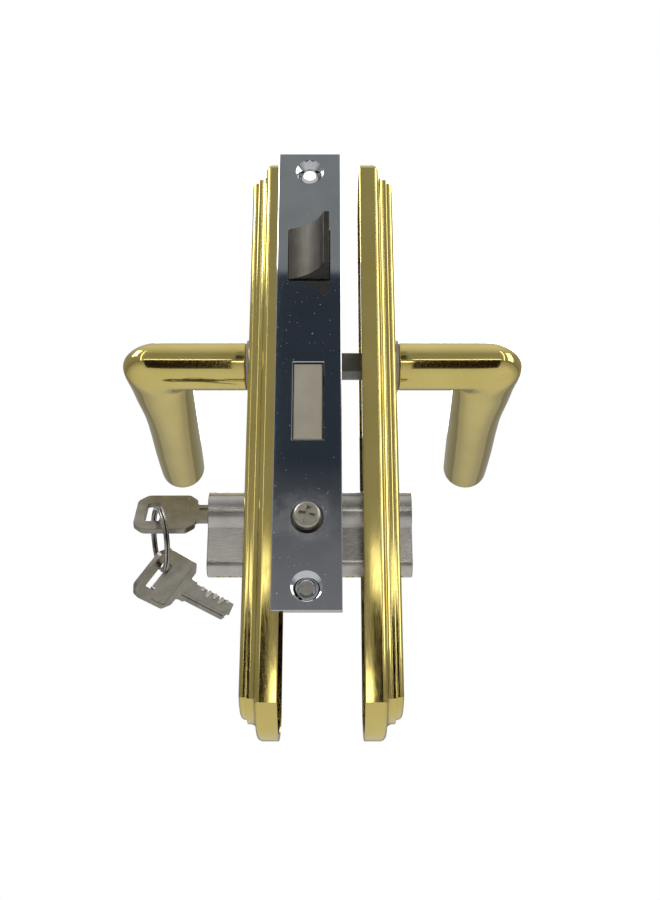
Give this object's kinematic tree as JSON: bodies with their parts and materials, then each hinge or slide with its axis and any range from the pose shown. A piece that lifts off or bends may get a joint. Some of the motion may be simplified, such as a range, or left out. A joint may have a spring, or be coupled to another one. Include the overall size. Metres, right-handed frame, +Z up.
{
  "type": "mortise lock set",
  "caption": "Mortise lock with a lever handle on a stepped plate each side, a sprung latch, a deadbolt and a double keyed cylinder with keys.",
  "frame": {"origin": "centre of the two forend screws on the forend's front face, on the lock case's mid-plane", "axes": "+Z up, -Y out of the door's edge towards the frame, +Y into the door, X through the door's thickness"},
  "size_m": [0.1604, 0.186, 0.2358],
  "materials": {
    "polished_brass": "polished",
    "chrome_plate": "mirror",
    "satin_nickel": "satin",
    "key_nickel": "satin",
    "ring_steel": "polished",
    "latch_metal": "satin",
    "bolt_metal": "satin",
    "screw_steel": "satin",
    "zinc_steel": "zinc plated",
    "spring_steel": "bare",
    "cast_zinc": "as cast",
    "pin_brass": "machined",
    "washer_grey": "matt"
  },
  "bodies": {
    "lock_case": {"lock_case": "zinc_steel", "case_cover": "zinc_steel", "case_pillars": "zinc_steel", "case_screws": "zinc_steel", "guide_posts": "zinc_steel", "forend": "chrome_plate", "latch_guide": "zinc_steel", "latch_spring": "spring_steel", "follower_spring": "spring_steel", "follower_spring_seat": "zinc_steel", "bolt_leaf_spring": "spring_steel", "cylinder_body": "satin_nickel", "plug_right": "pin_brass", "left_driver_pins": "pin_brass", "left_pin_springs": "spring_steel", "right_key_pins": "pin_brass", "right_driver_pins": "pin_brass", "right_pin_springs": "spring_steel", "chamber_plugs": "pin_brass", "fixing_screw": "screw_steel"},
    "follower": {"follower": "cast_zinc", "spindle": "zinc_steel"},
    "latch_retractor": {"latch_retractor": "zinc_steel"},
    "latch": {"latch_bolt": "latch_metal", "latch_tail": "zinc_steel"},
    "deadbolt": {"deadbolt": "bolt_metal"},
    "left_plug": {"plug_left": "pin_brass", "left_key_pins": "pin_brass", "cam": "cast_zinc", "clutch": "zinc_steel"},
    "key_1": {"key_1": "key_nickel"},
    "split_ring": {"split_ring": "ring_steel"},
    "key_2": {"key_2": "key_nickel"},
    "left_trim": {"plate_left": "polished_brass", "neck_washer_left": "washer_grey"},
    "right_trim": {"plate_right": "polished_brass", "neck_washer_right": "washer_grey"},
    "left_lever": {"lever_left": "polished_brass", "lever_clip_left": "spring_steel"},
    "right_lever": {"lever_right": "polished_brass", "lever_clip_right": "spring_steel"}
  },
  "joints": [
    {"name": "follower_turn", "type": "hinge", "parent": "lock_case", "child": "follower", "pos_m": [0, 0.055, 0.0255], "axis": [-1, 0, 0], "range_deg": [0, 45], "stiffness_Nm_per_rad": 0.9, "springref_deg": -51.57, "deforming": ["follower_spring"]},
    {"name": "latch_retract", "type": "slide", "parent": "lock_case", "child": "latch_retractor", "axis": [0, 1, 0], "range_m": [0, 0.012], "deforming": ["latch_spring"]},
    {"name": "latch_push", "type": "slide", "parent": "latch_retractor", "child": "latch", "axis": [0, -1, 0], "range_m": [-0.012, 0], "stiffness_N_per_m": 180, "springref_m": 0.012, "deforming": ["latch_spring"]},
    {"name": "key_turn", "type": "hinge", "parent": "lock_case", "child": "left_plug", "pos_m": [0, 0.055, -0.0365], "axis": [-1, 0, 0], "range_deg": [-36, 180]},
    {"name": "deadbolt_throw", "type": "slide", "parent": "lock_case", "child": "deadbolt", "axis": [0, -1, 0], "range_m": [-0.00283, 0.01417]},
    {"name": "key_withdraw", "type": "slide", "parent": "left_plug", "child": "key_1", "axis": [-1, 0, 0], "range_m": [0, 0.032]},
    {"name": "ring_swing", "type": "hinge", "parent": "key_1", "child": "split_ring", "pos_m": [-0.0594, 0.05294, -0.03933], "axis": [1, 0, 0], "range_deg": [-25, 15]},
    {"name": "key_2_swing", "type": "hinge", "parent": "split_ring", "child": "key_2", "pos_m": [-0.05526, 0.05626, -0.05752], "axis": [0.62, -0.258, 0.741], "range_deg": [-20, 10]},
    {"name": "left_trim_slide", "type": "slide", "parent": "lock_case", "child": "left_trim", "axis": [-1, 0, 0], "range_m": [0, 0.005]},
    {"name": "right_trim_slide", "type": "slide", "parent": "lock_case", "child": "right_trim", "axis": [1, 0, 0], "range_m": [0, 0.01]},
    {"name": "left_lever_turn", "type": "hinge", "parent": "left_trim", "child": "left_lever", "pos_m": [-0.04, 0.055, 0.0255], "axis": [-1, 0, 0], "range_deg": [0, 45]},
    {"name": "right_lever_turn", "type": "hinge", "parent": "right_trim", "child": "right_lever", "pos_m": [0.05, 0.055, 0.0255], "axis": [-1, 0, 0], "range_deg": [0, 45]}
  ],
  "couplings": [
    {"joint": "latch_retract", "follows": "follower_turn", "m_per_rad": 0.015277},
    {"joint": "left_lever_turn", "follows": "follower_turn", "ratio": 1},
    {"joint": "right_lever_turn", "follows": "follower_turn", "ratio": 1},
    {"joint": "key_turn", "follows": "deadbolt_throw", "rad_per_m": 221.75}
  ]
}
